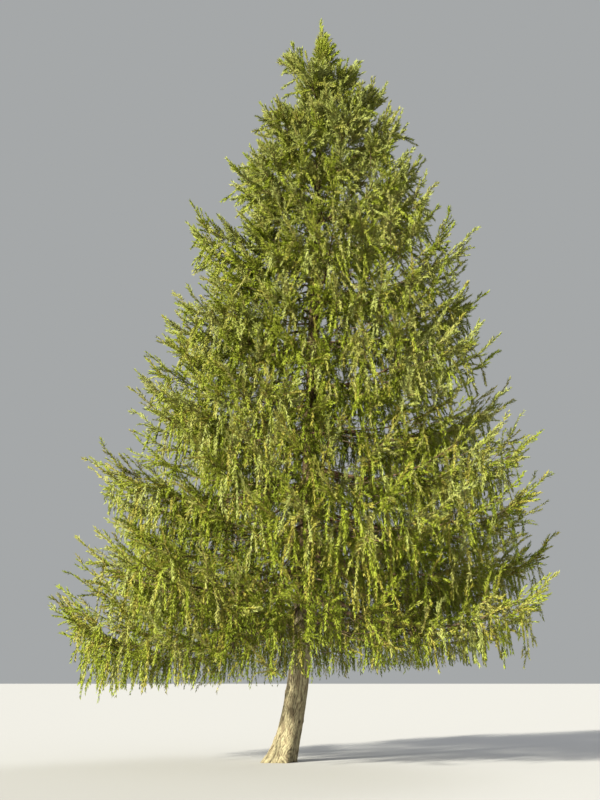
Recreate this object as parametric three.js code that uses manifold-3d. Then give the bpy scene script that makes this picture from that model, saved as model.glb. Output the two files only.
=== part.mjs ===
// European larch as a whole tree: one trunk, its main boughs, and the masses of
// needled twigs that hang from them. Millimetres, +Z up. The origin is the middle
// of the flat cut at ground level, and the tree is seen along +Y.
import * as THREE from "three";
import { mergeVertices } from "three/addons/utils/BufferGeometryUtils.js";
import Module from "manifold-3d";

const wasm = await Module();
wasm.setup();

// Trunk: swept at the foot, then a slight steady lean towards +X
const TREE_HEIGHT = 16340;
const TRUNK_TOP = 15200;
const TRUNK_RADIUS = 234;
const TRUNK_TIP_RADIUS = 17;
const TRUNK_TAPER = 0.9;
const SWEEP = 420;
const SWEEP_HEIGHT = 1300;
const LEAN = 0.029;
const TRUNK_SIDES = 16;
const TRUNK_RINGS = 13;
const TRUNK_RING_GROWTH = 2.1; // rings crowd towards the foot
const BARK_GAP = 0.3;

// Root flare: lobes that die away up the trunk, the widest towards -X
const FLARE = 125;
const FLARE_HEIGHT = 330;
const FLARE_LOBES = 5;
const FLARE_LOBE_DEPTH = 0.35;
const FLARE_LOPSIDED = 0.45;

// Crown outline: its radius where widest, and how it narrows to the top
const CROWN_RADIUS = 5300;
const CROWN_WIDEST = 3800;
const CROWN_POWER = 0.59;
const CROWN_UNEVEN = 0.1;
const CROWN_LOPSIDED = 0.13; // fuller towards +X, more so higher up
const FOLIAGE_FLOOR = 1250;

// Boughs: a golden-angle spiral up the trunk, the first one towards -X
const BOUGHS = 35;
const LIMBED = 22; // the lowest ones are main boughs, the rest are foliage from the trunk outwards
const LOWEST_BOUGH = 2950;
const HIGHEST_BOUGH = 14700;
const BOUGH_CROWDING = 1.04;
const FIRST_AZIMUTH = Math.PI;
const GOLDEN_ANGLE = Math.PI * (3 - Math.sqrt(5));
const AZIMUTH_JITTER = 0.16;
const RISE_LOW = -0.18;
const RISE_HIGH = 0.85;
const SAG = 0.06;
const UPTURN = 0.12;
const SIDE_BEND = 0.14;
const BOUGH_RADIUS_LOW = 62;
const BOUGH_RADIUS_HIGH = 16;
const BOUGH_TIP_RADIUS = 7;
const COLLAR = 0.55;
const COLLAR_LENGTH = 110;
const BOUGH_SHARE = 0.22; // of a bough's length is bare limb, the rest is its mass's stem
const BOUGH_SIDES = 6;
const BOUGH_RINGS = 2;

// Side twigs of a mass, set left and right of its stem
const SIDE_TWIGS_LOW = 7;
const SIDE_TWIGS_HIGH = 3;
const SIDE_TWIG_FROM = 0.26;
const SIDE_TWIG_TO = 0.9;
const SIDE_TWIG_LENGTH = 0.8;
const SIDE_TWIG_SPREAD = 1.02;
const SIDE_TWIG_CURVE = 0.16;
const SIDE_TWIG_DROOP = 0.1;
const TWIG_TIP_RADIUS = 6;
const TWIG_WEIGHT = 1.7; // three sides are drawn wider, so that the section has a round one's area

// Fringe of hanging sprays under a twig: a blade whose lower edge is cut into pointed teeth
const FRINGE_LOW = 1500;
const FRINGE_HIGH = 1025;
const FRINGE_SWAY = 0.3; // of its depth, between the farthest leans to either side
const FRINGE_VALLEY = 0.35; // of the depth, left between two teeth
const FRINGE_ENDS = 0.5; // of the depth, left at the twig's root and tip
const STEM_TEETH = 6;
const SIDE_TEETH = 3;

// Sprays that reach outwards and up from the twigs' ends, as toothed blades
const SPRAY_LOW = 1000;
const SPRAY_HIGH = 550;
const SPRAY_WIDTH = 0.2;
const SPRAY_THICKNESS = 0.05;
const SPRAY_MIDDLE = 0.36; // of its length, where it is thickest
const SPRAY_SINK = 0.3; // of the twig's radius, past its centre line
const SPRAY_APART = 0.17; // of its length, between its middle line and the next spray's
const SPRAY_LIFT = 0.3;
const STEM_SPRAYS = [0.99, 0.8]; // places along the stem
const SIDE_SPRAY = 0.98;
const LEADER_SPRAYS = 9;
const LEADER_RISE = 1.1;

// Room for each mass, and how its pieces are fitted into it and fused
const SPACE_MARGIN = 18;
const SPACE_LIFT = 0.5; // of the fringe's depth
const FITS = [1, 0.8, 0.62, 0.48, 0.36]; // shares of a full size, tried until one fits
const MIDDLE_LINE = [0.3, 0.5, 0.7, 0.9];
const AXIS_STEPS = 12;
const FUSE_TOLERANCE = 3;
const CUT_TOLERANCE = 0.05;

const UP = new THREE.Vector3(0, 0, 1);
const BARK = new THREE.MeshStandardMaterial({ color: 0x9a8868, roughness: 0.95, metalness: 0 });
const LIMB_BARK = new THREE.MeshStandardMaterial({ color: 0x6e5c45, roughness: 0.95, metalness: 0 });
const NEEDLES = new THREE.MeshStandardMaterial({ color: 0x7d8a2c, roughness: 0.8, metalness: 0 });

const mix = (a, b, share) => a + (b - a) * share;
const clamp = (v, low, high) => Math.min(high, Math.max(low, v));

// A repeatable number from 0 to 1 for draw k of thing i.
function roll(i, k) {
  const v = Math.sin(i * 127.1 + k * 311.7 + 17.3) * 43758.5453;
  return v - Math.floor(v);
}

const trunkAxis = (z) =>
  new THREE.Vector3(SWEEP * (1 - Math.exp(-z / SWEEP_HEIGHT)) + LEAN * z, 0, z);

function trunkRadius(z) {
  const left = clamp(1 - z / TRUNK_TOP, 0, 1);
  return TRUNK_TIP_RADIUS + (TRUNK_RADIUS - TRUNK_TIP_RADIUS) * Math.pow(left, TRUNK_TAPER);
}

function rootFlare(z, angle) {
  const lobes = 1 + FLARE_LOBE_DEPTH * Math.cos(FLARE_LOBES * angle);
  const lean = 1 - FLARE_LOPSIDED * Math.cos(angle);
  return FLARE * Math.exp(-z / FLARE_HEIGHT) * lobes * lean;
}

function crownRadius(z) {
  const share = clamp((TREE_HEIGHT - z) / (TREE_HEIGHT - CROWN_WIDEST), 0, 1.08);
  return CROWN_RADIUS * Math.pow(share, CROWN_POWER);
}

// A closed three.js geometry as a manifold-3d solid.
function solidOf(geometry) {
  const bare = geometry.clone();
  bare.deleteAttribute("normal");
  bare.deleteAttribute("uv");
  const merged = mergeVertices(bare, 1e-3);
  return new wasm.Manifold(
    new wasm.Mesh({
      numProp: 3,
      vertProperties: merged.attributes.position.array,
      triVerts: new Uint32Array(merged.index.array),
    }),
  );
}

function geometryOf(solid) {
  const { vertProperties, triVerts } = solid.getMesh();
  const geometry = new THREE.BufferGeometry();
  geometry.setAttribute("position", new THREE.BufferAttribute(vertProperties, 3));
  geometry.setIndex(new THREE.BufferAttribute(triVerts, 1));
  geometry.computeVertexNormals();
  return geometry;
}

// The direction of a curve at t, from the points either side of it.
function heading(pointAt, t) {
  const step = 0.01;
  return pointAt(t + step).sub(pointAt(t - step)).normalize();
}

// Bends an upright cylinder, 1 high and 1 in radius, along a curve with a radius for
// each place on it. A drop moves the lowest corner of a three-sided section.
function limb(shape, pointAt, radiusAt, dropAt) {
  const position = shape.attributes.position;
  const steep = Math.abs(heading(pointAt, 0.5).z) > 0.9;
  const reference = steep ? new THREE.Vector3(0, 1, 0) : UP;
  for (let v = 0; v < position.count; v++) {
    const t = position.getY(v) + 0.5;
    const along = heading(pointAt, t);
    const across = reference.clone().cross(along).normalize();
    const outward = across.clone().cross(along);
    const radius = radiusAt(t);
    const point = pointAt(t)
      .addScaledVector(across, position.getX(v) * radius)
      .addScaledVector(outward, position.getZ(v) * radius);
    if (dropAt && position.getZ(v) > 0.9) point.add(dropAt(t));
    position.setXYZ(v, point.x, point.y, point.z);
  }
  return solidOf(shape);
}

const taperedLimb = (pointAt, radiusAt, sides, rings) =>
  limb(new THREE.CylinderGeometry(1, 1, 1, sides, rings), pointAt, radiusAt);

function trunkSolid(extra) {
  const shape = new THREE.CylinderGeometry(1, 1, 1, TRUNK_SIDES, TRUNK_RINGS);
  const position = shape.attributes.position;
  for (let v = 0; v < position.count; v++) {
    const x = position.getX(v);
    const y = -position.getZ(v);
    const z = TRUNK_TOP * Math.pow(position.getY(v) + 0.5, TRUNK_RING_GROWTH);
    const radius = trunkRadius(z) + rootFlare(z, Math.atan2(y, x)) + extra;
    const axis = trunkAxis(z);
    position.setXYZ(v, axis.x + x * radius, axis.y + y * radius, z);
  }
  return solidOf(shape);
}

// Everything that one bough and its mass are worked out from. It leaves the trunk where its
// turn of the spiral comes and is long enough to reach the crown's outline with its last spray.
function boughPlan(i) {
  const share = i / (BOUGHS - 1);
  const attach = mix(LOWEST_BOUGH, HIGHEST_BOUGH, Math.pow(share, BOUGH_CROWDING));
  const azimuth = FIRST_AZIMUTH + GOLDEN_ANGLE * i + AZIMUTH_JITTER * (roll(i, 1) - 0.5);
  const rise = mix(RISE_LOW, RISE_HIGH, share * share);
  const tip = 0.7 * mix(SPRAY_LOW, SPRAY_HIGH, share);
  let length = crownRadius(attach) - tip;
  for (let k = 0; k < 6; k++) {
    length = crownRadius(attach + (rise + UPTURN) * (length + tip)) - tip;
  }
  length *= 1 + CROWN_UNEVEN * (roll(i, 2) - 0.5) + CROWN_LOPSIDED * share * Math.cos(azimuth);
  const out = new THREE.Vector3(Math.cos(azimuth), Math.sin(azimuth), 0);
  const side = new THREE.Vector3(-out.y, out.x, 0);
  const bend = SIDE_BEND * (roll(i, 3) - 0.5);
  const sag = SAG * (1 - share);
  const root = trunkAxis(attach);
  const pointAt = (t) =>
    root
      .clone()
      .addScaledVector(out, length * t)
      .addScaledVector(side, length * bend * t * t)
      .addScaledVector(UP, length * (rise * t - sag * Math.sin(Math.PI * t) + UPTURN * t ** 4));
  const base = mix(BOUGH_RADIUS_LOW, BOUGH_RADIUS_HIGH, share);
  const radiusAt = (t) => mix(base, BOUGH_TIP_RADIUS, Math.pow(clamp(t, 0, 1), 0.8));
  return { index: i, share, attach, length, pointAt, radiusAt };
}

// The leader: the top shoot, which goes on from the trunk's tip.
function leaderPlan() {
  const root = trunkAxis(TRUNK_TOP);
  const length = TREE_HEIGHT - TRUNK_TOP - 0.85 * SPRAY_HIGH;
  const pointAt = (t) => root.clone().addScaledVector(UP, length * t);
  const radiusAt = (t) => mix(TRUNK_TIP_RADIUS, BOUGH_TIP_RADIUS, t);
  return { index: BOUGHS, share: 1, attach: TRUNK_TOP, length, pointAt, radiusAt };
}

const plans = [...Array(BOUGHS).keys()].map(boughPlan);
plans.push(leaderPlan());
const axes = plans.map((plan) =>
  [...Array(AXIS_STEPS + 1).keys()].map((k) => plan.pointAt(k / AXIS_STEPS)),
);

function distanceToAxis(point, axis) {
  const line = new THREE.Line3();
  const nearest = new THREE.Vector3();
  let least = Infinity;
  for (let k = 0; k < axis.length - 1; k++) {
    line.set(axis[k], axis[k + 1]).closestPointToPoint(point, true, nearest);
    least = Math.min(least, nearest.distanceTo(point));
  }
  return least;
}

const fringeDepth = (plan) => mix(FRINGE_LOW, FRINGE_HIGH, plan.share);

// A mass's own space: what lies nearer to its bough than to any other, seen from half
// a fringe higher up, and clear of the trunk and of the ground.
function inSpace(plan, point) {
  if (point.z < FOLIAGE_FLOOR) return false;
  const axis = trunkAxis(point.z);
  const bare = point.z < TRUNK_TOP + SPACE_MARGIN ? trunkRadius(point.z) + 2 * SPACE_MARGIN : 0;
  if (Math.hypot(point.x - axis.x, point.y - axis.y) < bare) return false;
  const lifted = point.clone().addScaledVector(UP, SPACE_LIFT * fringeDepth(plan));
  const own = distanceToAxis(lifted, axes[plan.index]) + SPACE_MARGIN;
  return axes.every((other, k) => k === plan.index || distanceToAxis(lifted, other) > own);
}

// The outline of a spray, as shares of its length along it and of its half width across it.
const TOOTHED_OUTLINE = [
  [0, 0],
  [0.3, 1],
  [0.5, 0.42],
  [0.74, 0.8],
  [1, 0],
  [0.6, -0.4],
  [0.4, -0.95],
];

// A spray has its outline's points round it and one on each face, from a sphere of two rings.
function spray(root, along, facing, length) {
  const shape = new THREE.SphereGeometry(1, TOOTHED_OUTLINE.length, 2);
  const position = shape.attributes.position;
  const across = along.clone().cross(facing);
  for (let v = 0; v < position.count; v++) {
    const pole = position.getY(v);
    const turn = Math.atan2(position.getZ(v), -position.getX(v)) / (2 * Math.PI);
    const k = Math.round((turn + 1) * TOOTHED_OUTLINE.length) % TOOTHED_OUTLINE.length;
    const onPole = Math.abs(pole) > 0.5;
    const [reach, tooth] = onPole ? [SPRAY_MIDDLE, 0] : TOOTHED_OUTLINE[k];
    const thick = onPole ? Math.sign(pole) * length * SPRAY_THICKNESS * 0.5 : 0;
    const point = root
      .clone()
      .addScaledVector(along, reach * length)
      .addScaledVector(across, tooth * length * SPRAY_WIDTH)
      .addScaledVector(facing, thick);
    position.setXYZ(v, point.x, point.y, point.z);
  }
  return solidOf(shape);
}

// The points of a spray that have to lie in its mass's space.
function sprayReach(root, along, facing, length) {
  const across = along.clone().cross(facing);
  return TOOTHED_OUTLINE.slice(1).map(([reach, tooth]) =>
    root
      .clone()
      .addScaledVector(along, reach * length)
      .addScaledVector(across, tooth * length * SPRAY_WIDTH),
  );
}

// Adds a spray to a twig, the longest that stays in its mass's space and off the sprays there.
function addSpray(mass, plan, twig, t, along, draw) {
  const turn = 2 * Math.PI * roll(plan.index, draw);
  const level = new THREE.Vector3(Math.cos(turn), Math.sin(turn), 0);
  const facing = level.addScaledVector(along, -level.dot(along)).normalize();
  const centre = twig.pointAt(t);
  const full = mix(SPRAY_LOW, SPRAY_HIGH, plan.share) * mix(0.85, 1, roll(plan.index, draw + 1));
  for (const share of FITS) {
    const length = full * share;
    const line = MIDDLE_LINE.map((reach) => centre.clone().addScaledVector(along, reach * length));
    const near = SPRAY_APART * length;
    if (line.some((p) => mass.lines.some((other) => other.distanceTo(p) < near))) continue;
    if (!sprayReach(centre, along, facing, length).every((p) => inSpace(plan, p))) continue;
    const root = centre.addScaledVector(along, -SPRAY_SINK * twig.radiusAt(t));
    mass.pieces.push(spray(root, along, facing, length));
    mass.lines.push(...line);
    return;
  }
}

// A sideways push of up to half of 1, for draws k and k + 1.
const swayOf = (plan, k) => new THREE.Vector3(roll(plan.index, k) - 0.5, roll(plan.index, k + 1) - 0.5, 0);

// The way that a spray reaches on from a twig: outwards and up, and more to one side farther back.
function reaching(plan, twig, t, draw) {
  const along = heading(twig.pointAt, t).addScaledVector(UP, SPRAY_LIFT);
  return along.addScaledVector(swayOf(plan, draw), t > 0.9 ? 0.5 : 1.6).normalize();
}

// A three-sided cylinder. Its faces either side of the lowest edge are split the same way
// into triangles, so that teeth which lean apart don't turn a fringe inside out.
function fringeShape(rings) {
  const shape = new THREE.CylinderGeometry(1, 1, 1, 3, rings);
  const corners = shape.index.array;
  for (let face = 2 * rings; face < 3 * rings; face++) {
    const [a, b, d, , c] = corners.subarray(6 * face, 6 * face + 6);
    corners.set([a, b, c, a, c, d], 6 * face);
  }
  return shape;
}

// A three-sided limb with its lowest edge drawn down into a fringe, no tooth of which leaves
// the mass's space. Each tooth takes two rings, after the bare ones at its root, and leans
// to one side.
function fringedTwig(plan, twig, teeth, bare, draw) {
  const rings = 2 * teeth + bare;
  const drops = [...Array(teeth).keys()].map((k) => {
    const lean = FRINGE_SWAY * (roll(plan.index, draw + 3 * k) - 0.5);
    const u = (2 * k + 1 + bare) / rings;
    const root = twig.pointAt(u);
    const depth = fringeDepth(plan) * mix(FRINGE_ENDS, 1, Math.sin(Math.PI * u));
    const drop = UP.clone().cross(heading(twig.pointAt, u)).setLength(lean).sub(UP);
    drop.multiplyScalar(depth * mix(0.65, 1.1, roll(plan.index, draw + 3 * k + 2)));
    const reach = (share) => inSpace(plan, root.clone().addScaledVector(drop, share));
    return drop.multiplyScalar(FITS.find((share) => reach(share) && reach(share / 2)) ?? 0);
  });
  const dropAt = (ring) => {
    const place = ring - bare;
    if (place <= 0 || ring === rings) return new THREE.Vector3();
    if (place % 2) return drops[(place - 1) / 2];
    const between = drops[place / 2 - 1].clone().add(drops[place / 2]);
    return between.multiplyScalar(FRINGE_VALLEY / 2);
  };
  const shape = fringeShape(rings);
  const weight = (t) => TWIG_WEIGHT * twig.radiusAt(t);
  return limb(shape, twig.pointAt, weight, (t) => dropAt(Math.round(rings * t)));
}

// A side twig leaves the stem level and forward, droops, and turns up a little at its tip.
// It is as long as its mass's space lets it be, or left out.
function sideTwig(plan, j, count) {
  const t = mix(SIDE_TWIG_FROM, SIDE_TWIG_TO, (j + 0.5 * roll(plan.index, 20 + j)) / count);
  const hand = (j + plan.index) % 2 ? 1 : -1;
  const stem = heading(plan.pointAt, t);
  const along = stem.clone().applyAxisAngle(UP, hand * SIDE_TWIG_SPREAD * mix(1.1, 0.8, t));
  const full = plan.length * SIDE_TWIG_LENGTH * (1.1 - t) * mix(0.85, 1.15, roll(plan.index, 40 + j));
  const root = plan.pointAt(t);
  const arch = (u) => u ** 3 - Math.sin(Math.PI * u) * (1 - plan.share);
  const curve = (length) => (u) =>
    root
      .clone()
      .addScaledVector(along, length * u)
      .addScaledVector(stem, SIDE_TWIG_CURVE * length * u * u)
      .addScaledVector(UP, SIDE_TWIG_DROOP * length * arch(u));
  const stays = (share) => [0.4, 0.7, 1].every((u) => inSpace(plan, curve(full * share)(u)));
  const share = FITS.find(stays);
  const radius = mix(plan.radiusAt(t), BOUGH_TIP_RADIUS, 0.4);
  return share && { pointAt: curve(full * share), radiusAt: (u) => mix(radius, TWIG_TIP_RADIUS, u) };
}

// Fuses pieces and drops the edges that are too short to show.
const fuse = (pieces) => wasm.Manifold.union(pieces).asOriginal().simplify(FUSE_TOLERANCE);

// Leaves out the loose scraps of a solid.
const largestBody = (solid) =>
  solid.decompose().reduce((most, body) => (body.volume() > most.volume() ? body : most));

// One mass: a stem that goes on from its bough's end, or from the trunk, with side twigs and sprays.
function massSolid(plan, bark) {
  const limbed = plan.index < LIMBED;
  const from = limbed ? BOUGH_SHARE + BARK_GAP / plan.length : 0;
  const stem = {
    pointAt: (t) => plan.pointAt(mix(from, 1, t)),
    radiusAt: (t) => plan.radiusAt(mix(from, 1, t)),
  };
  const mass = { pieces: [fringedTwig(plan, stem, STEM_TEETH, 1, 200)], lines: [] };
  STEM_SPRAYS.forEach((t, k) => {
    addSpray(mass, plan, stem, t, reaching(plan, stem, t, 60 + 5 * k), 62 + 5 * k);
  });
  const count = Math.round(mix(SIDE_TWIGS_LOW, SIDE_TWIGS_HIGH, plan.share));
  for (let j = 0; j < count; j++) {
    const twig = sideTwig(plan, j, count);
    if (!twig) continue;
    const along = reaching(plan, twig, SIDE_SPRAY, 100 + 20 * j);
    mass.pieces.push(fringedTwig(plan, twig, SIDE_TEETH, 0, 300 + 20 * j));
    addSpray(mass, plan, twig, SIDE_SPRAY, along, 102 + 20 * j);
  }
  const fused = fuse(mass.pieces);
  return largestBody(limbed ? fused : fused.subtract(bark).simplify(CUT_TOLERANCE));
}

// The leader's mass: a stem that goes on from the trunk's tip, with sprays all round it.
function leaderSolid(plan) {
  const from = BARK_GAP / plan.length;
  const stem = { pointAt: (t) => plan.pointAt(mix(from, 1, t)), radiusAt: plan.radiusAt };
  const mass = { pieces: [taperedLimb(stem.pointAt, stem.radiusAt, 3, 4)], lines: [] };
  addSpray(mass, plan, stem, 0.99, UP, 0);
  for (let k = 0; k < LEADER_SPRAYS; k++) {
    const azimuth = k * GOLDEN_ANGLE;
    const along = new THREE.Vector3(Math.cos(azimuth), Math.sin(azimuth), LEADER_RISE).normalize();
    addSpray(mass, plan, stem, mix(0.1, 0.9, k / (LEADER_SPRAYS - 1)), along, 10 + 2 * k);
  }
  return largestBody(fuse(mass.pieces));
}

// A bough is cut off by the bark that it grows from and ends where its mass begins.
function boughSolid(plan, bark) {
  const toEnd = (t) => t * BOUGH_SHARE;
  const radiusAt = (t) => {
    const outside = plan.length * toEnd(t) - trunkRadius(plan.attach);
    return plan.radiusAt(toEnd(t)) * (1 + COLLAR * Math.exp(-Math.max(outside, 0) / COLLAR_LENGTH));
  };
  const whole = taperedLimb((t) => plan.pointAt(toEnd(t)), radiusAt, BOUGH_SIDES, BOUGH_RINGS);
  return whole.subtract(bark);
}

const larch = new THREE.Group();

function addNode(name, solid, material) {
  const mesh = new THREE.Mesh(geometryOf(solid), material);
  mesh.name = name;
  larch.add(mesh);
}

const numbered = (kind, plan) => `${kind}_${String(plan.index + 1).padStart(2, "0")}`;
const bark = trunkSolid(BARK_GAP);
addNode("trunk", trunkSolid(0), BARK);
for (const plan of plans.slice(0, LIMBED)) {
  addNode(numbered("bough", plan), boughSolid(plan, bark), LIMB_BARK);
}
for (const plan of plans.slice(0, BOUGHS)) {
  addNode(numbered("foliage", plan), massSolid(plan, bark), NEEDLES);
}
addNode("foliage_top", leaderSolid(plans[BOUGHS]), NEEDLES);

export default larch;
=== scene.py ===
"""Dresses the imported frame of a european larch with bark, twigs and needles.

Metres, +Z up, in the frame's own place: the origin is the middle of the trunk's flat cut
at ground level. Boughs and side twigs follow the rule that the solids follow, and it is
carried on to hanging strands, their branchlets and single needles.
"""

import math

import bpy
import numpy as np
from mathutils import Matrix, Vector


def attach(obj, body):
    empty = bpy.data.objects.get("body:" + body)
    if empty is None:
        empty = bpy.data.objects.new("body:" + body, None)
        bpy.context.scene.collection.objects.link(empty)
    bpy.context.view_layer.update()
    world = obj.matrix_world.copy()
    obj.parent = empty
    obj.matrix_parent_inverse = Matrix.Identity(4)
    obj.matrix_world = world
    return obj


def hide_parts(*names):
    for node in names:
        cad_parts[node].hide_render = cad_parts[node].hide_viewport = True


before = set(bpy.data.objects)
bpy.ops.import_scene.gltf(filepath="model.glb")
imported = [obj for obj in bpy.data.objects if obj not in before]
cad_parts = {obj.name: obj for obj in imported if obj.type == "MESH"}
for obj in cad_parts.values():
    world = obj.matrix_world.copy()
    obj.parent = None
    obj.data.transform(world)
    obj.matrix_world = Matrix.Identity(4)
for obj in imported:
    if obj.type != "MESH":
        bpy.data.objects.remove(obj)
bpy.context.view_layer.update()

# Trunk: swept at the foot, then a slight steady lean towards +X
TREE_HEIGHT = 16.34
TRUNK_TOP = 15.2
TRUNK_RADIUS = 0.234
TRUNK_TIP_RADIUS = 0.017
TRUNK_TAPER = 0.9
SWEEP = 0.42
SWEEP_HEIGHT = 1.3
LEAN = 0.029
TRUNK_SIDES = 104
TRUNK_RINGS = 150
TRUNK_RING_GROWTH = 1.9  # rings crowd towards the foot

# Root flare: lobes that die away up the trunk, the widest towards -X
FLARE = 0.125
FLARE_HEIGHT = 0.33
FLARE_LOBES = 5
FLARE_LOBE_DEPTH = 0.35
FLARE_LOPSIDED = 0.45

# Bark: ridges and furrows that run up the trunk, and the scars of old branches
RIDGES = 26
RIDGE_DEPTH = 0.011
RIDGE_POWER = 3  # the higher, the narrower the furrows
RIDGE_WOBBLE = 2.6  # of a ridge's width
WANDER = (9, 0.2)  # cells of noise round the trunk, and the height of one
FINE_WANDER = (18, 0.17)
FINE_WANDER_SHARE = 0.5
PLATES = (20, 0.12)
PLATE_FURROWS = (0.7, 1.1)  # how deep furrows are beside low and high plates
CRACKS = (30, 0.05)
CRACKS_FROM = 0.62  # of their noise
CRACK_GAIN = 1.6
CRACK_DEPTH = 0.7  # of a furrow's
RIDGE_RISE = 0.35  # of the ridges' depth, how far they stand out of the plain radius
PLATE_RISE = 0.35
KNOTS = 26
KNOT_RADIUS = (0.022, 0.05)
KNOT_HEIGHT = 0.012
KNOT_ZONE = (0.35, 3.6)
KNOT_STRETCH = 0.8  # their width, of their height
KNOT_RIM = 0.9  # of their radius
KNOT_RIM_SHARPNESS = 6
KNOT_PIT_SHARPNESS = 5
KNOT_DARKNESS = 1.1
KNOT_DARK_SHARPNESS = 2.2

# Crown outline: its radius where widest, and how it narrows to the top
CROWN_RADIUS = 5.3
CROWN_WIDEST = 3.8
CROWN_POWER = 0.59
CROWN_MOST = 1.08  # it widens no more this far down, of the way from its top to where widest
CROWN_UNEVEN = 0.1
CROWN_LOPSIDED = 0.13  # fuller towards +X, more so higher up
FOLIAGE_FLOOR = 1.25
HANGING_FLOOR = 1.6  # where the strands by the trunk end
FLOOR_SLOPE = 0.07  # it rises towards +X

# Boughs: a golden-angle spiral up the trunk, the first one towards -X
BOUGHS = 35
LIMBED = 22  # the lowest ones, whose roots are solids of their own
LOWEST_BOUGH = 2.95
HIGHEST_BOUGH = 14.7
BOUGH_CROWDING = 1.04
FIRST_AZIMUTH = math.pi
GOLDEN_ANGLE = math.pi * (3 - math.sqrt(5))
AZIMUTH_JITTER = 0.16
RISE_LOW = -0.18  # this and the next four are shares of a bough's length
RISE_HIGH = 0.85
SAG = 0.06
UPTURN = 0.12
SIDE_BEND = 0.14
UPTURN_POWER = 4  # the higher, the nearer to the tip it sets in
TIP_ROOM = 0.7  # of a spray's length, between a bough's tip and the outline
LENGTH_ROUNDS = 6  # of working out where a bough meets the outline
BOUGH_RADIUS_LOW = 0.062
BOUGH_RADIUS_HIGH = 0.016
BOUGH_TIP_RADIUS = 0.007
BOUGH_TAPER = 0.8
COLLAR = 0.55  # how much thicker at the bark
COLLAR_LENGTH = 0.11
BOUGH_SHARE = 0.22  # the bare part of a limbed bough's length
STEM_FROM = 0.1  # and of any other bough's
BOUGH_SIDES = 7
BOUGH_RINGS = 20
LESSER_RINGS = 12
BOUGH_RING_GROWTH = 1.15  # rings crowd towards the root
BOUGH_LUMPS = (0.88, 1.12)  # times the radius
LUMP_LENGTH = 0.12
LUMP_SEEDS = 20  # they count from here

# Lesser boughs: thinner and shorter ones between each main bough and the next, up the same spiral
LESSER_BETWEEN = 3
SPIRAL_STEPS = LESSER_BETWEEN + 1  # from one main bough to the next
LESSER_NUMBERS = 1714  # they count from here
LESSER_LENGTH_LOW = (0.45, 0.93)  # of a main bough's, from the shortest to the longest
LESSER_LENGTH_HIGH = (0.82, 1.12)
LESSER_LOPSIDED = 0.14  # longer towards +X near the top
LESSER_GIRTH = 0.6  # of a main bough's
LESSER_FRINGE = (1.15, 0.8)  # their strands' length, of a main bough's, from the lowest boughs up
LESSER_NARROWING = 0.57  # how much shorter they are at the very top
NARROWING_POWER = 6  # the higher, the nearer to the top that sets in
NARROWING_LOPSIDED = 0.6  # more of it towards -X

# Side twigs, set left and right of a stem: the solids' own, then finer ones between them
SIDE_TWIGS_LOW = 7
SIDE_TWIGS_HIGH = 3
SIDE_TWIG_FROM = 0.26  # the places on a stem between which they grow
SIDE_TWIG_TO = 0.9
LESSER_TWIG_FROM = 0.12
SIDE_TWIG_JITTER = 0.5  # of the way to the next
SIDE_TWIG_END = 1.1  # a place past the bough's tip
SIDE_TWIG_LENGTH = 0.8  # of the bough from their own place to that one
SIDE_TWIG_UNEVEN = (0.85, 1.15)
SIDE_TWIG_SPREAD = 1.02  # the angle to the stem
SIDE_TWIG_OPENING = (1.1, 0.8)  # times that angle, from the stem's root to its tip
SIDE_TWIG_CURVE = 0.16
SIDE_TWIG_DROOP = 0.1
SIDE_TWIG_THINNER = 0.4  # of the way from the stem's radius to its tip's
SIDE_TWIG_TESTS = (0.4, 0.7, 1)  # the places on them that have to fit
TWIG_TIP_RADIUS = 0.004
FINE_LENGTH = 0.72  # the finer ones' length, of the others'
TWIG_SIDES = 4
TWIG_RINGS = 6

# Hanging strands: they leave a twig sideways and bend down within the solids' fringe
FRINGE_LOW = 1.5  # the depth of the solids' fringe
FRINGE_HIGH = 1.025
STRANDS_LOW = 1.5  # the length of the strands
STRANDS_HIGH = 0.75
STRANDS_UNEVEN = (0.4, 1.05)
FRINGE_ENDS = 0.5  # their length at a twig's ends, of that at its middle
UPRIGHT_POWER = 2.2  # shoots hang up to the middle of the crown and stand up more and more above it
STRAND_SPACING = (0.229, 0.137)  # from the lowest boughs to the top
STRAND_CROWDING = 0.85  # towards the twig's end
STRAND_START = 0.25  # of the way from one to the next
STRAND_JITTER = 0.5
LESSER_SPACING = 1.42  # times as far apart on lesser boughs
STRAND_SPREAD = (0.3, 1.1)  # how far sideways they set off
STRAND_FORWARD = 0.6  # and how far along the twig
STRAND_LIFT = (-0.5, 0.35)  # and how far up
STRAND_SWAY = 0.22  # how unevenly they hang
STRAND_OUT_LOW = 0.12  # how far they hang outwards instead of straight down
STRAND_OUT_HIGH = 0.8
STRAND_ASIDE = 0.6  # how far sideways for each 1 along the twig
STRAND_UPTURN = -0.6  # the least that they hang near the top, where some stand up
STRAND_BEND = 0.17  # of its length before it hangs
STRAND_RADIUS = 0.0045
STRAND_RINGS = (0, 0.25)  # shares of its length, before its tip
STRAND_TAPER = 0.5
STRAND_SIDES = 3

# Shoots that reach outwards and up from the twigs' ends
SPRAY_LOW = 1.0  # the length of the solids' sprays
SPRAY_HIGH = 0.55
SPRAY_LIFT = 0.3
SPRAY_TURN = (-0.2, 0.1)  # how far their tips turn up, from the lowest boughs up
SPRAY_ASIDE = 0.15
SPRAY_CUT = (0.8, 0.66)  # how much of their length is used here, from the lowest boughs up
SPRAY_CUT_POWER = 4
SPRAY_UNEVEN = (0.8, 1)
STEM_SPRAYS = (0.99, 0.8)  # their places on a stem
SIDE_SPRAY = 0.98  # and on a side twig
END_SHOOTS = (8, 10)  # more shoots at each end, from the lowest boughs to the top
END_FROM = 0.68  # the places between which they grow
END_TO = 0.97
END_LENGTH = (0.28, 0.62)  # of a spray's
END_ASIDE = (0.9, 0.4)  # how far sideways they set off, from the twig's root to its tip
END_LIFT_LOW = (-0.4, 0.25)  # how steeply they set off
END_LIFT_HIGH = (0.0, 0.6)
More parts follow.
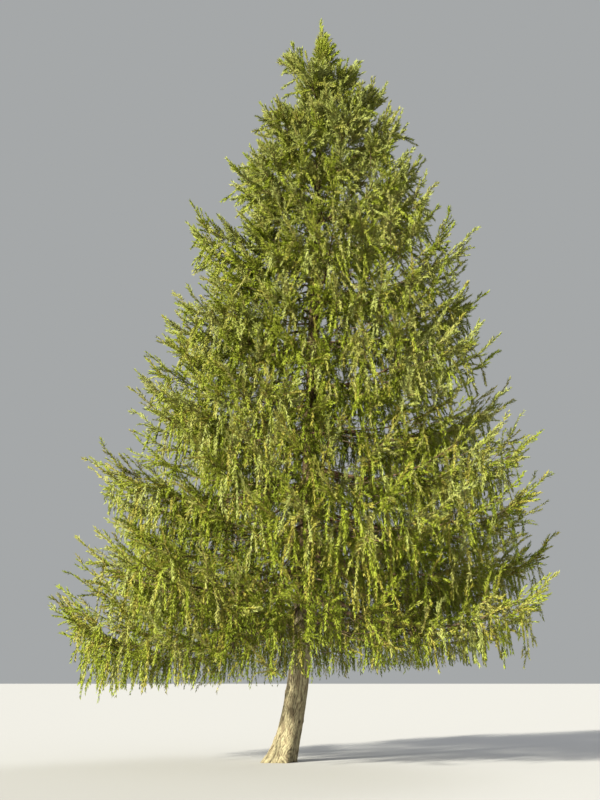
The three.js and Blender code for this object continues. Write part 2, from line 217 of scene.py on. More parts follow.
END_TURN_LOW = (-0.9, 0.1)  # and turn towards their tips
END_TURN_HIGH = (-0.3, 0.5)
SHOOT_BEND = 0.5  # of a shoot's length before it has turned

# Shoots all round the leader, and round the trunk inside the crown
LEADER_ROOM = 0.85  # of a spray's length, between the leader's tip and the tree's height
LEADER_SHOOTS = 80
LEADER_TURNS = (0.3, 0.3)  # how far their tips turn up, from the lowest to the highest
TRUNK_SHOOTS = 300
TRUNK_SHOOTS_FROM = 2.7
TRUNK_SHOOT_LENGTH = 1.0
TRUNK_TURNS = (-2.2, 0.6)
ROUND_TO = 0.97  # the place of the highest
ROUND_RISE = 1.1  # how steeply they set off
ROUND_STEEPER = (0.3, 1.5)  # times that, from the lowest to the highest
ROUND_SHORTER = (0.85, 0.5)  # of the full length, from the lowest to the highest
ROUND_UNEVEN = (0.7, 1)
ROUND_LOPSIDED = 0.35  # longer towards +X

# Branchlets along strands and shoots
HANGING_SPACING = 0.42  # on those that hang
REACHING_SPACING = 0.2  # on those that reach outwards
BRANCHLET_START = 0.3  # of the way from one to the next
BRANCHLET_JITTER = 0.6
BRANCHLET_LENGTH = (0.5, 0.25)  # of its strand, from root to tip
BRANCHLET_UNEVEN = (0.7, 1.2)
BRANCHLET_LEAST = 0.14
BRANCHLET_FORWARD = (0.8, 0.6)  # how far along its strand it sets off and ends
BRANCHLET_OUT = 0.18  # how far away from its strand it ends
BRANCHLET_BEND = 0.3  # of its length before it lies along its strand
BRANCHLET_RADIUS = 0.003

# Room for each mass, and how twigs and strands are fitted into it
SPACE_MARGIN = 0.018
SPACE_LIFT = 0.5  # of the fringe's depth, by which a mass's room lies below its stem
FITS = (1, 0.8, 0.62, 0.48, 0.36)  # the shares of a full length that are tried in turn
AXIS_STEPS = 12  # straight steps that a stem is measured by

# Needles: slim blades in a spiral round each shoot, as many as the whole crown may have
NEEDLES = 790000
LEAST_NEEDLES = 3  # on any shoot
NEEDLE_JITTER = 0.4  # of the way to the next
NEEDLE_TURN_JITTER = 0.9
NEEDLE_LENGTH = (0.085, 0.056)  # along a strand, from root to tip
NEEDLE_UNEVEN = (0.8, 1.2)
HIGH_NEEDLE_LENGTH = 1.25  # times as long at the very top
NEEDLE_WIDTH = 0.024
NEEDLE_ROOT = 0.5  # of a strand's radius, away from its middle
NEEDLE_FORWARD = (0.75, 1.8)  # how far they lean along a strand, from root to tip
FORWARD_UNEVEN = (0.7, 1.3)
LOW_NEEDLE_FORWARD = 1.4  # times as much at the ground
HIGH_NEEDLES = 1.9  # times as close together at the very top
INNER_NEEDLES = 0.5  # and deep in the crown
OUTER_DEPTH = (1.6, 2.8)  # how far in from the outline they begin and end to thin out
MIDDLE_DROP = 0.6  # how far a strand's middle hangs below the height that the outline is read at

# Tints: dealt out by each shoot's tone, from dark to fresh, and by its height, with painted shade:
# darker tints for shoots deeper in the crown
OWN_TONE = 0.45  # how much of a shoot's tone is its own, and not its twig's
BRANCHLET_TONE = 0.1  # how much a branchlet's differs from its strand's
GREENS = 5
SUNLIT_DEPTH = 1.2  # how far in from the outline the tints are dealt out evenly
SHADED_DEPTH = 2  # and how much further in the painted shade gets no darker
# painted shade: how much darker the tints are dealt for each metre further in
DEEPER_PAINTED_SHADE = 0.4
HIGHER_FRESHER = 0.3
TAN_SHARE = 0.25  # of the shoots at the ground
TAN_TOP = 11.0  # no tan ones from this height on
TAN_DRAW = 7  # times the tone gives the number that picks them

# Draws: the number that each kind of twig or shoot counts its own from, and the step to the next
TWIG_DRAWS = 20
FINE_TWIG_DRAWS = 420
TWIG_DRAW_STEP = 20  # from one use on a bough to the next
STEM_STRAND_DRAWS = 10000
SIDE_STRAND_DRAWS = (20000, 700)  # with the step from one side twig to the next
STRAND_DRAW_STEP = 1000  # from one use on a twig to the next
STEM_SHOOT_DRAWS = 60
SIDE_SHOOT_DRAWS = (2000, 400)
SHOOT_DRAW_STEP = 50

UP = np.array((0.0, 0.0, 1.0))


def mix(a, b, share):
    """The value a share of the way from a to b."""
    return a + (b - a) * share


def unit(vectors):
    return vectors / np.maximum(np.linalg.norm(vectors, axis=-1, keepdims=True), 1e-9)


def roll(i, k):
    """A repeatable number from 0 to 1 for draw k of thing i."""
    v = np.sin(np.asarray(i) * 127.1 + np.asarray(k) * 311.7 + 17.3) * 43758.5453
    return v - np.floor(v)


def column(values):
    """Numbers with one more axis, so that each multiplies a whole vector."""
    return np.asarray(values)[..., None]


def trunk_axis(z):
    z = np.asarray(z, float)
    x = SWEEP * (1 - np.exp(-z / SWEEP_HEIGHT)) + LEAN * z
    return np.stack([x, np.zeros_like(z), z], -1)


def trunk_radius(z):
    left = np.clip(1 - np.asarray(z) / TRUNK_TOP, 0, 1)
    return TRUNK_TIP_RADIUS + (TRUNK_RADIUS - TRUNK_TIP_RADIUS) * left**TRUNK_TAPER


def root_flare(z, angle):
    """How much wider the trunk is at its foot, for a height and an angle."""
    lobes = 1 + FLARE_LOBE_DEPTH * np.cos(FLARE_LOBES * angle)
    lean = 1 - FLARE_LOPSIDED * np.cos(angle)
    return FLARE * np.exp(-z / FLARE_HEIGHT) * lobes * lean


def crown_radius(z):
    """The crown's outline at a height, which the boughs' tips reach."""
    share = np.clip((TREE_HEIGHT - z) / (TREE_HEIGHT - CROWN_WIDEST), 0, CROWN_MOST)
    return CROWN_RADIUS * share**CROWN_POWER


class Twig:
    """A curve with a radius for each place from 0 to 1 along it. Its share says how high up its
    bough is, from 0 for the lowest to 1 for the highest."""

    def __init__(self, index, share, length, point, radius):
        self.index = index
        self.lesser = index >= LESSER_NUMBERS
        self.share = share
        self.length = length
        self.point = point
        self.radius = radius

    def heading(self, t):
        step = 0.01
        t = np.asarray(t, float)
        return unit(self.point(t + step) - self.point(t - step))


class Bough(Twig):
    """A bough from the trunk's axis to its tip, at a place on the spiral where whole numbers are
    the main boughs. These are worked out as the solids are."""

    def __init__(self, place, lesser=False):
        share = place / (BOUGHS - 1)
        self.attach = mix(LOWEST_BOUGH, HIGHEST_BOUGH, share**BOUGH_CROWDING)
        azimuth = FIRST_AZIMUTH + GOLDEN_ANGLE * place
        index = LESSER_NUMBERS + round(place * SPIRAL_STEPS) if lesser else place
        azimuth += AZIMUTH_JITTER * (roll(index, 1) - 0.5)
        rise = mix(RISE_LOW, RISE_HIGH, share * share)
        tip = TIP_ROOM * mix(SPRAY_LOW, SPRAY_HIGH, share)
        length = crown_radius(self.attach) - tip
        for _ in range(LENGTH_ROUNDS):
            length = crown_radius(self.attach + (rise + UPTURN) * (length + tip)) - tip
        lopsided = CROWN_LOPSIDED * share * math.cos(azimuth)
        length *= 1 + CROWN_UNEVEN * (roll(index, 2) - 0.5) + lopsided
        if lesser:
            shortest, longest = mix(np.array(LESSER_LENGTH_LOW), np.array(LESSER_LENGTH_HIGH), share)
            narrowing = LESSER_NARROWING * share**NARROWING_POWER
            narrowing *= 1 - NARROWING_LOPSIDED * math.cos(azimuth)
            length *= mix(shortest, longest, roll(index, 5)) * (1 - narrowing)
            length *= 1 + LESSER_LOPSIDED * share * share * math.cos(azimuth)
        out = np.array((math.cos(azimuth), math.sin(azimuth), 0))
        side = np.array((-out[1], out[0], 0))
        bend = SIDE_BEND * (roll(index, 3) - 0.5)
        sag = SAG * (1 - share)
        root = trunk_axis(self.attach)
        base = mix(BOUGH_RADIUS_LOW, BOUGH_RADIUS_HIGH, share) * (LESSER_GIRTH if lesser else 1)

        def point(t):
            t = column(t)
            height = rise * t - sag * np.sin(math.pi * t) + UPTURN * t**UPTURN_POWER
            return root + length * (out * t + side * bend * t * t + UP * height)

        def radius(t):
            return mix(base, BOUGH_TIP_RADIUS, np.clip(t, 0, 1) ** BOUGH_TAPER)

        super().__init__(index, share, length, point, radius)


class Leader(Twig):
    """The top shoot, which goes on from the trunk's tip."""

    def __init__(self):
        self.attach = TRUNK_TOP
        root = trunk_axis(TRUNK_TOP)
        length = TREE_HEIGHT - TRUNK_TOP - LEADER_ROOM * SPRAY_HIGH
        super().__init__(
            BOUGHS,
            1,
            length,
            lambda t: root + UP * length * column(t),
            lambda t: mix(TRUNK_TIP_RADIUS, BOUGH_TIP_RADIUS, np.asarray(t, float)),
        )


class UpperTrunk(Twig):
    """The trunk from the height where it has shoots of its own."""

    def __init__(self):
        super().__init__(
            BOUGHS + 1,
            1,
            TRUNK_TOP - TRUNK_SHOOTS_FROM,
            lambda t: trunk_axis(mix(TRUNK_SHOOTS_FROM, TRUNK_TOP, np.asarray(t, float))),
            lambda t: trunk_radius(mix(TRUNK_SHOOTS_FROM, TRUNK_TOP, np.asarray(t, float))),
        )


LEADER = Leader()
MAIN = [Bough(i) for i in range(BOUGHS)]
LESSER_STEPS = [k for k in range((BOUGHS - 1) * SPIRAL_STEPS) if k % SPIRAL_STEPS]
LESSER = [Bough(k / SPIRAL_STEPS, lesser=True) for k in LESSER_STEPS]
AXES = np.array([stem.point(np.linspace(0, 1, AXIS_STEPS + 1)) for stem in [*MAIN, LEADER]])


def fringe_depth(share):
    """How far the solids' fringe hangs below a stem."""
    return mix(FRINGE_LOW, FRINGE_HIGH, share)


def axis_distances(points):
    """The distance of each point to each main stem, as a table of points by stems."""
    best = np.full((len(points), len(AXES)), np.inf)
    for k in range(AXIS_STEPS):
        start = AXES[:, k]
        step = AXES[:, k + 1] - start
        offset = points[:, None] - start
        share = np.clip((offset * step).sum(-1) / (step * step).sum(-1), 0, 1)
        best = np.minimum(best, np.linalg.norm(offset - column(share) * step, axis=-1))
    return best


def clear(points, floor=FOLIAGE_FLOOR):
    """Whether each point is clear of the trunk and high enough above the ground."""
    z = points[:, 2]
    beside = np.hypot(*(points - trunk_axis(z))[:, :2].T)
    bare = np.where(z < TRUNK_TOP + SPACE_MARGIN, trunk_radius(z) + 2 * SPACE_MARGIN, 0)
    return (beside >= bare) & (z >= floor)


def in_space(bough, points):
    """Whether all the points lie in a main bough's own space, which its solid keeps to."""
    distance = axis_distances(points + UP * SPACE_LIFT * fringe_depth(bough.share))
    own = distance[:, bough.index] + SPACE_MARGIN
    distance[:, bough.index] = np.inf
    return ((own < distance.min(1)) & clear(points)).all()


def stem_of(bough):
    """The part of a bough that carries foliage."""
    start = BOUGH_SHARE if bough.index < LIMBED else STEM_FROM
    return Twig(
        bough.index,
        bough.share,
        bough.length * (1 - start),
        lambda t: bough.point(mix(start, 1, np.asarray(t, float))),
        lambda t: bough.radius(mix(start, 1, np.asarray(t, float))),
    )


def turned(vector, angle):
    """A vector turned about the upright."""
    c, s = math.cos(angle), math.sin(angle)
    x, y, z = vector
    return np.array((c * x - s * y, s * x + c * y, z))


def side_twig(bough, j, count, size, draw, fits):
    """A twig that leaves the stem level and forward, droops, and turns up a little at its tip."""
    i = bough.index
    start = LESSER_TWIG_FROM if bough.lesser else SIDE_TWIG_FROM
    t = mix(start, SIDE_TWIG_TO, (j + SIDE_TWIG_JITTER * roll(i, draw + j)) / count)
    hand = 1 if (j + i) % 2 else -1
    stem = bough.heading(t)
    along = turned(stem, hand * SIDE_TWIG_SPREAD * mix(*SIDE_TWIG_OPENING, t))
    full = bough.length * SIDE_TWIG_LENGTH * size * (SIDE_TWIG_END - t)
    full *= mix(*SIDE_TWIG_UNEVEN, roll(i, draw + TWIG_DRAW_STEP + j))
    root = bough.point(t)

    def curve(length):
        def point(u):
            u = column(np.asarray(u, float))
            arch = u**3 - np.sin(math.pi * u) * (1 - bough.share)
            reach = along * u + SIDE_TWIG_CURVE * stem * u * u + UP * SIDE_TWIG_DROOP * arch
            return root + length * reach

        return point

    for share in FITS:
        length = full * share
        point = curve(length)
        if fits(point(np.array(SIDE_TWIG_TESTS))):
            radius = mix(bough.radius(t), BOUGH_TIP_RADIUS, SIDE_TWIG_THINNER) * math.sqrt(size)
            return Twig(i, bough.share, length, point, lambda u: mix(radius, TWIG_TIP_RADIUS, u))
    return None


def side_twigs(bough):
    """A bough's side twigs. A main one has the solid's own, and finer ones between them."""

    def anywhere(points):
        return clear(points).all()

    def in_own_space(points):
        return in_space(bough, points)

    count = round(mix(SIDE_TWIGS_LOW, SIDE_TWIGS_HIGH, bough.share))
    if bough.lesser:
        kinds = [(count + 1, 1, TWIG_DRAWS, anywhere)]
    else:
        kinds = [
            (count, 1, TWIG_DRAWS, in_own_space),
            (count + 1, FINE_LENGTH, FINE_TWIG_DRAWS, anywhere),
        ]
    twigs = [side_twig(bough, j, n, size, draw, fits) for n, size, draw, fits in kinds for j in range(n)]
    return [twig for twig in twigs if twig]


class Strands:
    """Many thin shoots at once: each sets off one way and bends over to another. Their tone, from
    dark to fresh, is mostly that of the twig they grow on."""

    def __init__(self, root, first, last, length, bend, tone):
        self.root = root
        self.first = unit(first)
        self.last = unit(last)
        self.length = length
        self.bend = bend
        self.tone = tone

    def __len__(self):
        return len(self.length)

    def part(self, rows):
        """The same strands in another order, or only some of them."""
        return Strands(*(v[rows] for v in vars(self).values()))

    def point(self, s):
        """Places along the strands, for one share of their length each or rows of shares."""
        early = self.bend * (1 - np.exp(-s / self.bend))
        reach = self.first * column(early) + self.last * column(s - early)
        return self.root + reach * column(self.length)

    def heading(self, s):
        left = column(np.exp(-s / self.bend))
        return unit(self.first * left + self.last * (1 - left))


def joined(groups):
    """Several groups of strands as one."""
    parts = zip(*(vars(group).values() for group in groups))
    return Strands(*(np.concatenate(part) for part in parts))


def fitted(strands):
    """The strands as long as the trunk and the ground let them be, without those that don't fit."""
    share = np.zeros(len(strands))
    full = strands.length.copy()
    for fit in FITS:
        open_rows = np.flatnonzero(share == 0)
        trial = strands.part(open_rows)
        trial.length = full[open_rows] * fit
        ends = trial.point(np.full(len(trial), 1.0))
        stays = clear(ends, HANGING_FLOOR + FLOOR_SLOPE * ends[:, 0])
        stays &= clear(trial.point(np.full(len(trial), 0.5)))
        share[open_rows[stays]] = fit
    strands.length = full * share
    return strands.part(share > 0)


def tones(twig, draw, k):
    """The tones of a twig's shoots: partly one that they share, and partly their own."""
    shared = roll(twig.index, draw + 7 * STRAND_DRAW_STEP)
    return mix(shared, roll(twig.index, draw + 8 * STRAND_DRAW_STEP + k), OWN_TONE)


def fringe_of(twig, draw):
    """The strands that hang from a twig, left and right of it in turn."""
    i = twig.index
    spacing = mix(*STRAND_SPACING, twig.share) * (LESSER_SPACING if twig.lesser else 1)
    count = max(2, round(twig.length / spacing))
    k = np.arange(count)

    def drawn(use):
        return roll(i, draw + STRAND_DRAW_STEP * use + k)

    u = ((k + STRAND_START + STRAND_JITTER * drawn(0)) / count) ** STRAND_CROWDING
    along = twig.heading(u)
    hand = np.where((k + draw) % 2, 1.0, -1.0)
    side = unit(np.cross(UP, along)) * column(hand)
    spread = mix(*STRAND_SPREAD, drawn(1))
    lift = mix(*STRAND_LIFT, drawn(2))
    first = side * column(spread) + along * STRAND_FORWARD + UP * column(lift)
    sway = np.stack([drawn(3) - 0.5, drawn(4) - 0.5, 0 * u], -1)
    upright = twig.share**UPRIGHT_POWER
    outwards = mix(STRAND_OUT_LOW, STRAND_OUT_HIGH, upright)
    droop = mix(1, mix(STRAND_UPTURN, 1, drawn(6)), upright)
    last = sway * STRAND_SWAY + (along + side * STRAND_ASIDE) * outwards - UP * column(droop)
    length = mix(STRANDS_LOW, STRANDS_HIGH, twig.share) * mix(FRINGE_ENDS, 1, np.sin(math.pi * u))
    length *= mix(*STRANDS_UNEVEN, drawn(5))
    if twig.lesser:
        length *= mix(*LESSER_FRINGE, math.sqrt(twig.share))
    bend = np.full(count, STRAND_BEND)
    return Strands(twig.point(u), first, last, length, bend, tones(twig, draw, k))


def shoots_of(twig, places, draw):
    """Shoots at a twig's end that reach outwards and up, longest where the solids have a spray."""
    i = twig.index
    more = round(mix(*END_SHOOTS, twig.share))
    k = np.arange(len(places) + more)

    def drawn(use):
        return roll(i, draw + SHOOT_DRAW_STEP * use + k)

    u = np.concatenate([places, mix(END_FROM, END_TO, np.arange(more) / (more - 1))])
    along = twig.heading(u)
    hand = np.where(k % 2, 1.0, -1.0)
    own = k < len(places)
    aside = hand * np.where(own, SPRAY_ASIDE, mix(*END_ASIDE, u))
    upright = twig.share**UPRIGHT_POWER
    lifts = mix(np.array(END_LIFT_LOW), np.array(END_LIFT_HIGH), upright)
    lift = np.where(own, SPRAY_LIFT, mix(*lifts, drawn(0)))
    first = along + unit(np.cross(UP, along)) * column(aside) + UP * column(lift)
    turns = mix(np.array(END_TURN_LOW), np.array(END_TURN_HIGH), upright)
    turn = np.where(own, mix(*SPRAY_TURN, upright), mix(*turns, drawn(1)))
    last = first + UP * column(turn)
    length = mix(SPRAY_LOW, SPRAY_HIGH, twig.share) * mix(*SPRAY_UNEVEN, drawn(2))
    cut = mix(*SPRAY_CUT, twig.share**SPRAY_CUT_POWER)
    length = length * np.where(own, cut, mix(*END_LENGTH, drawn(3)))
    bend = np.full(len(k), SHOOT_BEND)
    return Strands(twig.point(u), first, last, length, bend, tones(twig, draw, k))


def shoots_round(twig, count, longest, turns):
    """Shoots all round an upright twig, steeper towards its top, whose tips turn up or down."""
    k = np.arange(count)
    u = mix(0.0, ROUND_TO, k / (count - 1))
    azimuth = k * GOLDEN_ANGLE
    rise = ROUND_RISE * mix(*ROUND_STEEPER, u)
    first = np.stack([np.cos(azimuth), np.sin(azimuth), rise], -1)
    last = first + UP * column(mix(*turns, u))
    length = longest * mix(*ROUND_SHORTER, u) * mix(*ROUND_UNEVEN, roll(twig.index, 10 + k))
    length = length * (1 + ROUND_LOPSIDED * np.cos(azimuth))
    bend = np.full(count, SHOOT_BEND)
    return Strands(twig.point(u), first, last, length, bend, tones(twig, 0, k))


def leader_shoots(leader):
    """Shoots all round the top, the last of them straight up."""
    shoots = shoots_round(leader, LEADER_SHOOTS, SPRAY_HIGH, LEADER_TURNS)
    shoots.first[-1] = UP
    shoots.last[-1] = UP
    shoots.length[-1] = SPRAY_HIGH
    return shoots


def branchlets_of(strands, spacing):
    """Short branchlets round each strand, which lie closer to it towards its tip."""
    counts = np.floor(strands.length / spacing).astype(int)
    rows = np.repeat(np.arange(len(strands)), counts)
    parent = strands.part(rows)
    k = np.arange(len(rows)) - np.repeat(np.cumsum(counts) - counts, counts)
    s = (k + BRANCHLET_START + BRANCHLET_JITTER * roll(rows, k)) / np.maximum(counts[rows], 1)
    along = parent.heading(s)
    azimuth = GOLDEN_ANGLE * k + 2 * math.pi * roll(rows, 77)
    first_side, second_side = across(along)
    out = first_side * column(np.cos(azimuth)) + second_side * column(np.sin(azimuth))
    first = along * BRANCHLET_FORWARD[0] + out
    last = parent.last + along * BRANCHLET_FORWARD[1] + out * BRANCHLET_OUT
    length = parent.length * mix(*BRANCHLET_LENGTH, s) * mix(*BRANCHLET_UNEVEN, roll(rows, 90 + k))
    tone = parent.tone + BRANCHLET_TONE * (roll(rows, 120 + k) - 0.5)
    keep = length > BRANCHLET_LEAST
    bend = np.full(len(rows), BRANCHLET_BEND)
    return Strands(parent.point(s), first, last, length, bend, tone).part(keep)


def across(along):
    """Two directions square to each of many directions."""
    nearly_upright = np.abs(along[..., 2]) > 0.9
    reference = np.where(column(nearly_upright), (0.0, 1.0, 0.0), UP)
    first = unit(np.cross(reference, along))
    return first, np.cross(along, first)


class Shape:
    """Vertices, faces and one value a vertex, gathered from many pieces."""

    def __init__(self):
        self.points = []
        self.faces = []
        self.values = []
        self.count = 0

    def add(self, points, faces, values=None):
        self.points.append(points.reshape(-1, 3))
        self.faces.append(faces.reshape(-1, 3) + self.count)
        n = len(self.points[-1])
        self.values.append(np.zeros(n) if values is None else np.broadcast_to(values, (n,)))
        self.count += n

    def made(self, name, smooth, attribute=None):
        points = np.concatenate(self.points).astype(np.float32)
        faces = np.concatenate(self.faces).astype(np.int32)
        mesh = bpy.data.meshes.new(name)
        mesh.vertices.add(len(points))
        mesh.vertices.foreach_set("co", points.ravel())
        mesh.loops.add(faces.size)
        mesh.loops.foreach_set("vertex_index", faces.ravel())
        mesh.polygons.add(len(faces))
        mesh.polygons.foreach_set("loop_start", np.arange(0, faces.size, 3, dtype=np.int32))
        mesh.update(calc_edges=True)
        mesh.polygons.foreach_set("use_smooth", np.full(len(faces), smooth))
        if attribute:
            layer = mesh.attributes.new(attribute, "FLOAT", "POINT")
            layer.data.foreach_set("value", np.concatenate(self.values).astype(np.float32))
        obj = bpy.data.objects.new(name, mesh)
        bpy.context.scene.collection.objects.link(obj)
        return obj


def tube_faces(rings, sides, pointed=False):
    """The triangles of a tube whose vertices go round it ring by ring, perhaps to a last point."""
    ring, side = np.meshgrid(np.arange(rings - 1), np.arange(sides), indexing="ij")
    a = ring * sides + side
    b = ring * sides + (side + 1) % sides
    c, d = a + sides, b + sides
    faces = np.stack([np.stack([a, b, d], -1), np.stack([a, d, c], -1)], -2).reshape(-1, 3)
    if not pointed:
        return faces
    side = np.arange(sides)
    last = (rings - 1) * sides
    tip = np.stack([last + side, last + (side + 1) % sides, np.full(sides, rings * sides)], -1)
    return np.concatenate([faces, tip])


def tube_points(centres, along, radii, sides):
    """Rings of points round each centre, square to the way along."""
    first, second = across(along)
    angle = 2 * math.pi * np.arange(sides) / sides
    ring = first[..., None, :] * column(np.cos(angle)) + second[..., None, :] * column(np.sin(angle))
    return centres[..., None, :] + ring * np.asarray(radii)[..., None, None]


def noise(x, y, seed, wrap):
    """Smooth noise from 0 to 1 on a grid of cells 1 wide, which joins up after some cells of x."""
    x0, y0 = np.floor(x), np.floor(y)
    fx, fy = x - x0, y - y0
    fx, fy = fx * fx * (3 - 2 * fx), fy * fy * (3 - 2 * fy)

    def corner(dx, dy):
        return roll((x0 + dx) % wrap + 0.37 * seed, y0 + dy + 0.53 * seed)

    low = mix(corner(0, 0), corner(1, 0), fx)
    high = mix(corner(0, 1), corner(1, 1), fx)
    return mix(low, high, fy)


def bark_noise(turn, z, cells, seed):
    """Noise on the trunk, for a number of cells round it and the height of one."""
    around, height = cells
    return noise(turn * around, z / height, seed, around)


def knots():
    """Heights, angles and radii of the scars of old branches."""
    k = np.arange(KNOTS)
    z = mix(*KNOT_ZONE, roll(k, 501))
    angle = 2 * math.pi * roll(k, 502)
    return z, angle, mix(*KNOT_RADIUS, roll(k, 503))


def trunk_bark():
    """The trunk with ridges, furrows and knots, closed at its cut foot and at its tip."""
    rings = np.linspace(0, 1, TRUNK_RINGS)
    z = column(TRUNK_TOP * rings**TRUNK_RING_GROWTH)
    angle = (2 * math.pi * np.arange(TRUNK_SIDES) / TRUNK_SIDES)[None]
    turn = angle / (2 * math.pi)
    z, angle, turn = np.broadcast_arrays(z, angle, turn)
    radius = trunk_radius(z) + root_flare(z, angle)
    wander = bark_noise(turn, z, WANDER, 1) + FINE_WANDER_SHARE * bark_noise(turn, z, FINE_WANDER, 2)
    phase = turn * RIDGES + RIDGE_WOBBLE * wander
    groove = np.abs(2 * (phase - np.floor(phase)) - 1) ** RIDGE_POWER
    plate = bark_noise(turn, z, PLATES, 3)
    crack = np.clip(bark_noise(turn, z, CRACKS, 4) - CRACKS_FROM, 0, 1) * CRACK_GAIN
    furrow = np.clip(groove * mix(*PLATE_FURROWS, plate) + crack * CRACK_DEPTH, 0, 1)
    thickness = trunk_radius(z) / TRUNK_RADIUS
    relief = RIDGE_DEPTH * thickness * (RIDGE_RISE - furrow + PLATE_RISE * plate)
    dark = furrow.copy()
    for knot_z, knot_angle, knot_radius in zip(*knots()):
        away = np.abs((angle - knot_angle + math.pi) % (2 * math.pi) - math.pi) * trunk_radius(z)
        distance = np.hypot(away, (z - knot_z) * KNOT_STRETCH) / knot_radius
        rim = np.exp(-((distance - KNOT_RIM) ** 2) * KNOT_RIM_SHARPNESS)
        pit = np.exp(-(distance**2) * KNOT_PIT_SHARPNESS)
        relief = relief + KNOT_HEIGHT * (rim - pit)
        dark = np.maximum(dark, KNOT_DARKNESS * np.exp(-(distance**2) * KNOT_DARK_SHARPNESS))
    radius = radius + relief
    centre = trunk_axis(z)
    points = centre + np.stack([np.cos(angle) * radius, np.sin(angle) * radius, 0 * radius], -1)
    shape = Shape()
    shape.add(points, tube_faces(TRUNK_RINGS, TRUNK_SIDES), dark.ravel())
    last = (TRUNK_RINGS - 1) * TRUNK_SIDES
    side = np.arange(TRUNK_SIDES)
    following = (side + 1) % TRUNK_SIDES
    foot = np.stack([np.full(TRUNK_SIDES, shape.count), following, side], -1)
    tip = np.stack([np.full(TRUNK_SIDES, shape.count + 1), last + side, last + following], -1)
    ends = np.stack([trunk_axis(0.0), trunk_axis(TRUNK_TOP)])
    shape.points.append(ends)
    shape.values.append(np.zeros(2))
    shape.faces.append(np.concatenate([foot, tip]))
    return shape.made("bark_trunk", True, "furrow")


def bough_bark():
    """Every bough from the bark to its tip, with a collar at its root and uneven bark."""
    shape = Shape()
    for stem in [*MAIN, *LESSER, LEADER]:
        rings = LESSER_RINGS if stem.lesser else BOUGH_RINGS
        t = np.linspace(0, 1, rings) ** BOUGH_RING_GROWTH
        outside = np.maximum(stem.length * t - trunk_radius(stem.attach), 0)
        collar = 1 + COLLAR * np.exp(-outside / COLLAR_LENGTH) * (stem is not LEADER)
        side = np.arange(BOUGH_SIDES, dtype=float)[None]
        run = column(t) * stem.length / LUMP_LENGTH
        lumps = noise(side, run, LUMP_SEEDS + stem.index, BOUGH_SIDES)
        points = tube_points(stem.point(t), stem.heading(t), stem.radius(t) * collar, BOUGH_SIDES)
        centres = stem.point(t)[:, None]
        points = centres + (points - centres) * column(mix(*BOUGH_LUMPS, lumps))
        shape.add(points, tube_faces(rings, BOUGH_SIDES), (1 - lumps).ravel())
    return shape.made("bark_boughs", True, "furrow")


def twig_wood(twigs, strands):
    """The wood of side twigs, strands and branchlets."""
    shape = Shape()
    faces = tube_faces(TWIG_RINGS, TWIG_SIDES)
    for twig in twigs:
        u = np.linspace(0, 1, TWIG_RINGS)
        shape.add(tube_points(twig.point(u), twig.heading(u), twig.radius(u), TWIG_SIDES), faces)
    side = shape.made("twigs_side", True)

    shape = Shape()
    for group, rings, radius in strands:
        places = [np.full(len(group), s) for s in rings]
        centres = np.stack([group.point(s) for s in places], 1)
        along = np.stack([group.heading(s) for s in places], 1)
        radii = np.broadcast_to(radius * (1 - STRAND_TAPER * np.array(rings)), centres.shape[:2])
        points = tube_points(centres, along, radii, STRAND_SIDES).reshape(len(group), -1, 3)
        tip = group.point(np.ones(len(group)))[:, None]
        points = np.concatenate([points, tip], 1)
        every = np.arange(len(group))[:, None, None] * points.shape[1]
        shape.add(points, every + tube_faces(len(rings), STRAND_SIDES, pointed=True))
    return side, shape.made("twigs_fine", True)


def needle_points(strands, counts):
    """The corners of the needles: slim blades, widest at the root, that lean forward more and more."""
    rows = np.repeat(np.arange(len(strands)), counts)
    parent = strands.part(rows)
    k = np.arange(len(rows)) - np.repeat(np.cumsum(counts) - counts, counts)
    number = np.arange(len(rows))
    s = (k + 0.5 + NEEDLE_JITTER * roll(number, 5)) / counts[rows]
    height = parent.root[:, 2] / TREE_HEIGHT
    along = parent.heading(s)
    first, second = across(along)
    azimuth = GOLDEN_ANGLE * k + NEEDLE_TURN_JITTER * roll(number, 3)
    out = first * column(np.cos(azimuth)) + second * column(np.sin(azimuth))
    forward = mix(*NEEDLE_FORWARD, s) * mix(*FORWARD_UNEVEN, roll(number, 20))
    forward = forward * mix(LOW_NEEDLE_FORWARD, 1, height)
    aim = unit(out + along * column(forward))
    length = mix(*NEEDLE_LENGTH, s) * mix(*NEEDLE_UNEVEN, roll(number, 40))
    length = length * mix(1, HIGH_NEEDLE_LENGTH, height**2)
    edge = np.cross(aim, np.cross(aim, out))
    tilt = math.pi * roll(number, 60)
    wide = unit(edge) * column(np.cos(tilt)) + np.cross(aim, unit(edge)) * column(np.sin(tilt))
    wide = wide * NEEDLE_WIDTH / 2
    base = parent.point(s) + out * STRAND_RADIUS * NEEDLE_ROOT
    return np.stack([base - wide, base + wide, base + aim * column(length)], -2)


def needle_pieces(strands, shade, tan, closeness):
    """One piece for each tint, dealt out shoot by shoot from dark to fresh by their shade, which holds
    painted shade deep in the crown, and the tan ones last.
    """
    order = np.argsort(np.where(tan, np.inf, shade), kind="stable")
    strands = strands.part(order)
    wanted = strands.length * closeness[order]
    counts = np.maximum(LEAST_NEEDLES, np.round(wanted * NEEDLES / wanted.sum())).astype(int)
    green = counts[~tan[order]].sum()
    ends = np.searchsorted(np.cumsum(counts), np.linspace(0, green, GREENS + 1)[1:])
    pieces = []
    for k, rows in enumerate(np.split(np.arange(len(strands)), ends)):
        points = needle_points(strands.part(rows), counts[rows])
        shape = Shape()
        shape.add(points, np.arange(points.size // 3))
        pieces.append(shape.made(f"needles_{k + 1}", False))
    return pieces


def depth_in_crown(strands):
    """How far in from the crown's outline each strand hangs."""
    middle = strands.point(np.full(len(strands), 0.5))
    z = middle[:, 2]
    beside = np.hypot(*(middle - trunk_axis(z))[:, :2].T)
    return crown_radius(np.minimum(z + MIDDLE_DROP, TREE_HEIGHT)) - beside


# Materials

